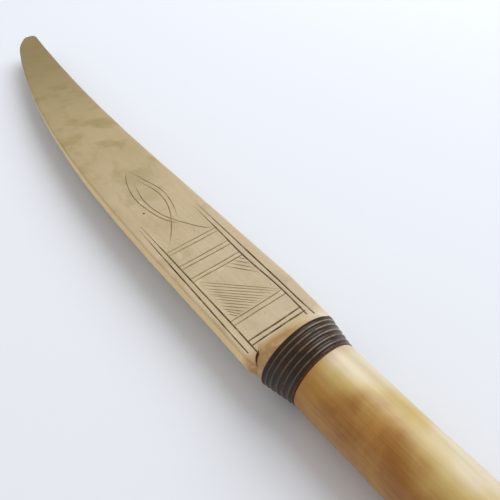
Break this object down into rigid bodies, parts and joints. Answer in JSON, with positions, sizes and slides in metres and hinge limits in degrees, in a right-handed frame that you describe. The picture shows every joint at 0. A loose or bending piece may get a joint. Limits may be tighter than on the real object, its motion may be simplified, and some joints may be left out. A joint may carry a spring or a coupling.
{
  "type": "bone folder",
  "caption": "Bone paper knife with a long curved flat blade, engraved lines on its upper face, a dark ridged horn collar and a round bone handle.",
  "frame": {"origin": "middle of the overall length and width, at the height of the surface that the tool lies on", "axes": "+X along the handle axis towards the blade's tip, +Y towards the working edge, +Z out of the engraved face"},
  "size_m": [0.25, 0.0228, 0.0139],
  "materials": {
    "blade_bone": "matte bone, finely scored",
    "dark_horn": "polished dark horn",
    "handle_bone": "polished yellowed bone",
    "resin": "dark brown resin"
  },
  "bodies": {
    "root": {"blade": "blade_bone", "collar": "dark_horn", "handle": "handle_bone", "tang_bedding": "resin"}
  },
  "joints": []
}
